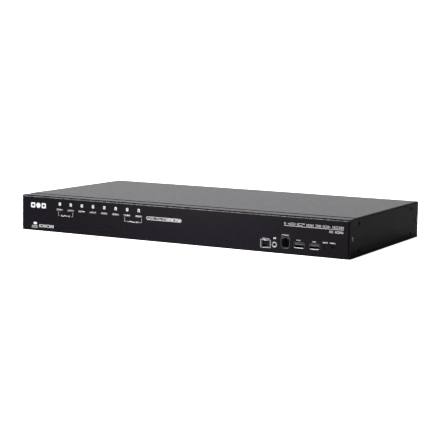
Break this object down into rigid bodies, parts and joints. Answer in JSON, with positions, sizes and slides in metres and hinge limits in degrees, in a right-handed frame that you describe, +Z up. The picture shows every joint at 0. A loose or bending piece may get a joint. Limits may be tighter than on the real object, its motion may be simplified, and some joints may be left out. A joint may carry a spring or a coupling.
{
  "type": "kvm switch",
  "caption": "Rack-mount KVM switch in a flat black steel case, with port buttons, number windows and console sockets on its front and host sockets at the rear.",
  "frame": {"origin": "centre of the case's bottom face, where it rests", "axes": "+X to the right as seen from the front, -Y out of the front panel, +Z up"},
  "size_m": [0.4362, 0.2224, 0.044],
  "materials": {
    "black_paint": "fine-textured satin black paint",
    "zinc_screw": "bright zinc plating",
    "socket_shell": "nickel-plated folded sheet",
    "jack_ring": "nickel-plated bushing",
    "socket_housing": "moulded black plastic",
    "black_plastic": "moulded black plastic",
    "button_grey": "light grey moulded plastic",
    "white_lens": "translucent white plastic",
    "clear_lens": "clear epoxy",
    "smoked_lens": "smoked clear plastic",
    "circuit_board": "green solder mask",
    "insulator_sheet": "thin black polyester sheet",
    "heat_sink": "extruded, clear anodised",
    "inlet_plastic": "moulded black plastic",
    "transformer_core": "taped ferrite core",
    "capacitor_sleeve": "printed plastic sleeve",
    "cable_grey": "flat ribbon cable",
    "cable_red": "insulated wire",
    "cable_black": "insulated wire"
  },
  "bodies": {
    "case": {"base_tray": "black_paint", "top_cover": "black_paint", "cover_screws": "zinc_screw", "ground_screw": "zinc_screw", "rack_nuts": "zinc_screw", "board_standoffs": "zinc_screw", "board_screws": "zinc_screw", "main_board": "circuit_board", "front_board": "circuit_board", "front_io_board": "circuit_board", "power_board": "circuit_board", "power_insulator": "insulator_sheet", "board_components": "black_plastic", "chip_heat_sink": "heat_sink", "button_guide": "black_plastic", "status_leds": "clear_lens", "tact_switches": "black_plastic", "number_lens_bar": "white_lens", "power_led": "smoked_lens", "front_usb_b": "socket_shell", "front_audio_jack": "jack_ring", "front_rj11_jack": "socket_housing", "front_usb_a_left": "socket_shell", "front_usb_a_right": "socket_shell", "console_video": "socket_shell", "console_usb_stack": "socket_shell", "console_audio_jack": "jack_ring", "ac_inlet": "inlet_plastic", "rocker_frame": "inlet_plastic", "power_transformer": "transformer_core", "power_capacitors": "capacitor_sleeve", "ribbon_cables": "cable_grey", "dc_wires": "cable_red", "mains_wires": "cable_black", "video_port_1": "socket_shell", "usb_b_port_1": "socket_shell", "video_port_2": "socket_shell", "usb_b_port_2": "socket_shell", "video_port_3": "socket_shell", "usb_b_port_3": "socket_shell", "video_port_4": "socket_shell", "usb_b_port_4": "socket_shell", "video_port_5": "socket_shell", "usb_b_port_5": "socket_shell", "video_port_6": "socket_shell", "usb_b_port_6": "socket_shell", "video_port_7": "socket_shell", "usb_b_port_7": "socket_shell", "video_port_8": "socket_shell", "usb_b_port_8": "socket_shell"},
    "port_button_1": {"port_button_1": "button_grey"},
    "port_button_2": {"port_button_2": "button_grey"},
    "port_button_3": {"port_button_3": "button_grey"},
    "port_button_4": {"port_button_4": "button_grey"},
    "port_button_5": {"port_button_5": "button_grey"},
    "port_button_6": {"port_button_6": "button_grey"},
    "port_button_7": {"port_button_7": "button_grey"},
    "port_button_8": {"port_button_8": "button_grey"},
    "reset_button": {"reset_button": "black_plastic"},
    "rocker_paddle": {"rocker_paddle": "inlet_plastic"}
  },
  "joints": [
    {"name": "port_button_1_press", "type": "slide", "parent": "case", "child": "port_button_1", "axis": [0, 1, 0], "range_m": [0, 0.0005], "stiffness_N_per_m": 800, "springref_m": -0.0002},
    {"name": "port_button_2_press", "type": "slide", "parent": "case", "child": "port_button_2", "axis": [0, 1, 0], "range_m": [0, 0.0005], "stiffness_N_per_m": 800, "springref_m": -0.0002},
    {"name": "port_button_3_press", "type": "slide", "parent": "case", "child": "port_button_3", "axis": [0, 1, 0], "range_m": [0, 0.0005], "stiffness_N_per_m": 800, "springref_m": -0.0002},
    {"name": "port_button_4_press", "type": "slide", "parent": "case", "child": "port_button_4", "axis": [0, 1, 0], "range_m": [0, 0.0005], "stiffness_N_per_m": 800, "springref_m": -0.0002},
    {"name": "port_button_5_press", "type": "slide", "parent": "case", "child": "port_button_5", "axis": [0, 1, 0], "range_m": [0, 0.0005], "stiffness_N_per_m": 800, "springref_m": -0.0002},
    {"name": "port_button_6_press", "type": "slide", "parent": "case", "child": "port_button_6", "axis": [0, 1, 0], "range_m": [0, 0.0005], "stiffness_N_per_m": 800, "springref_m": -0.0002},
    {"name": "port_button_7_press", "type": "slide", "parent": "case", "child": "port_button_7", "axis": [0, 1, 0], "range_m": [0, 0.0005], "stiffness_N_per_m": 800, "springref_m": -0.0002},
    {"name": "port_button_8_press", "type": "slide", "parent": "case", "child": "port_button_8", "axis": [0, 1, 0], "range_m": [0, 0.0005], "stiffness_N_per_m": 800, "springref_m": -0.0002},
    {"name": "reset_button_press", "type": "slide", "parent": "case", "child": "reset_button", "axis": [0, 1, 0], "range_m": [0, 0.0005], "stiffness_N_per_m": 800, "springref_m": -0.0002},
    {"name": "power_rocker_swing", "type": "hinge", "parent": "case", "child": "rocker_paddle", "pos_m": [0.165, 0.1084, 0.021], "axis": [1, 0, 0], "range_deg": [-20, 0]}
  ]
}
